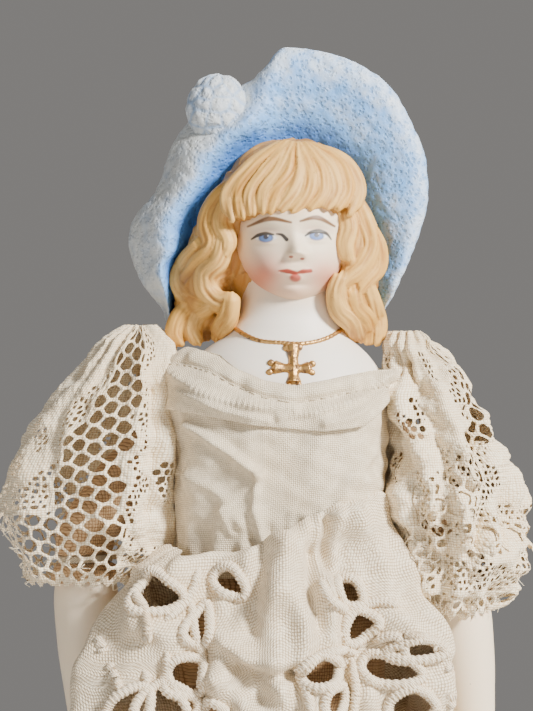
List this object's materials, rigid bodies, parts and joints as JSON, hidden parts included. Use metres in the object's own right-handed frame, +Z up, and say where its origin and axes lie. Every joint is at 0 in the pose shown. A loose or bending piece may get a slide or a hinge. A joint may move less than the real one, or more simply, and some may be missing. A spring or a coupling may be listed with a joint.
{
  "type": "porcelain doll",
  "caption": "Jointed doll with a bisque hatted shoulder head, bisque forearms and booted legs on a stuffed cloth body, in a lace-sleeved dress.",
  "frame": {"origin": "on the floor under the middle of the doll, at the centre of its bounding box's base", "axes": "+Z up, the doll faces -Y, its own left side is +X"},
  "size_m": [0.1, 0.08, 0.2401],
  "materials": {
    "bisque": "unglazed white bisque, faintly waxy",
    "complexion": "fired matt flesh tint, blushed cheeks, painted eyes, brows and mouth",
    "hair": "matt golden blond paint on moulded bisque",
    "hat": "stippled pale blue over white bisque, matt",
    "gilding": "worn fired gilding, semi-matt",
    "boot_paint": "glossy dark brown painted boot",
    "body_cloth": "aged tan muslin",
    "stuffing": "packed sawdust",
    "thread": "twisted cotton thread",
    "linen": "sheer cream linen, plain weave",
    "lace": "cream cotton needle lace",
    "cutwork": "cream cotton cutwork with corded edges",
    "china_button": "small white china button"
  },
  "bodies": {
    "torso": {"shoulder_head": "bisque", "shoulder_plate_stitches": "thread", "torso_cover": "body_cloth", "torso_stuffing": "stuffing", "bodice": "linen", "bodice_band": "linen", "back_buttons": "china_button", "skirt": "cutwork", "waist_thread": "thread"},
    "hips": {"hip_seam": "body_cloth"},
    "shoulder_left": {"shoulder_seam_left": "body_cloth"},
    "arm_left": {"upper_arm_cover_left": "body_cloth", "upper_arm_stuffing_left": "stuffing", "arm_binding_left": "thread", "forearm_left": "bisque", "sleeve_left": "lace"},
    "leg_left": {"thigh_cover_left": "body_cloth", "thigh_stuffing_left": "stuffing", "leg_binding_left": "thread", "lower_leg_left": "bisque"},
    "shoulder_right": {"shoulder_seam_right": "body_cloth"},
    "arm_right": {"upper_arm_cover_right": "body_cloth", "upper_arm_stuffing_right": "stuffing", "arm_binding_right": "thread", "forearm_right": "bisque", "sleeve_right": "lace"},
    "leg_right": {"thigh_cover_right": "body_cloth", "thigh_stuffing_right": "stuffing", "leg_binding_right": "thread", "lower_leg_right": "bisque"}
  },
  "joints": [
    {"name": "shoulder_swing_left", "type": "hinge", "parent": "torso", "child": "shoulder_left", "pos_m": [0.0189, 0.0015, 0.1805], "axis": [-1, 0, 0], "range_deg": [-45, 120], "deforming": ["skirt", "sleeve_left"]},
    {"name": "shoulder_spread_left", "type": "hinge", "parent": "shoulder_left", "child": "arm_left", "pos_m": [0.0189, 0.0015, 0.1805], "axis": [0, -1, 0], "range_deg": [-2, 60], "deforming": ["skirt", "sleeve_left"]},
    {"name": "shoulder_swing_right", "type": "hinge", "parent": "torso", "child": "shoulder_right", "pos_m": [-0.0189, 0.0015, 0.1805], "axis": [-1, 0, 0], "range_deg": [-45, 120], "deforming": ["skirt", "sleeve_right"]},
    {"name": "shoulder_spread_right", "type": "hinge", "parent": "shoulder_right", "child": "arm_right", "pos_m": [-0.0189, 0.0015, 0.1805], "axis": [0, 1, 0], "range_deg": [-2, 60], "deforming": ["skirt", "sleeve_right"]},
    {"name": "sit_fold", "type": "hinge", "parent": "torso", "child": "hips", "pos_m": [0, 0, 0.1238], "axis": [-1, 0, 0], "range_deg": [0, 90], "deforming": ["skirt"]},
    {"name": "leg_swing_left", "type": "hinge", "parent": "hips", "child": "leg_left", "pos_m": [0.0095, 0, 0.1214], "axis": [-1, 0, 0], "range_deg": [-20, 20], "deforming": ["skirt"]},
    {"name": "leg_swing_right", "type": "hinge", "parent": "hips", "child": "leg_right", "pos_m": [-0.0095, 0, 0.1214], "axis": [-1, 0, 0], "range_deg": [-20, 20], "deforming": ["skirt"]}
  ]
}
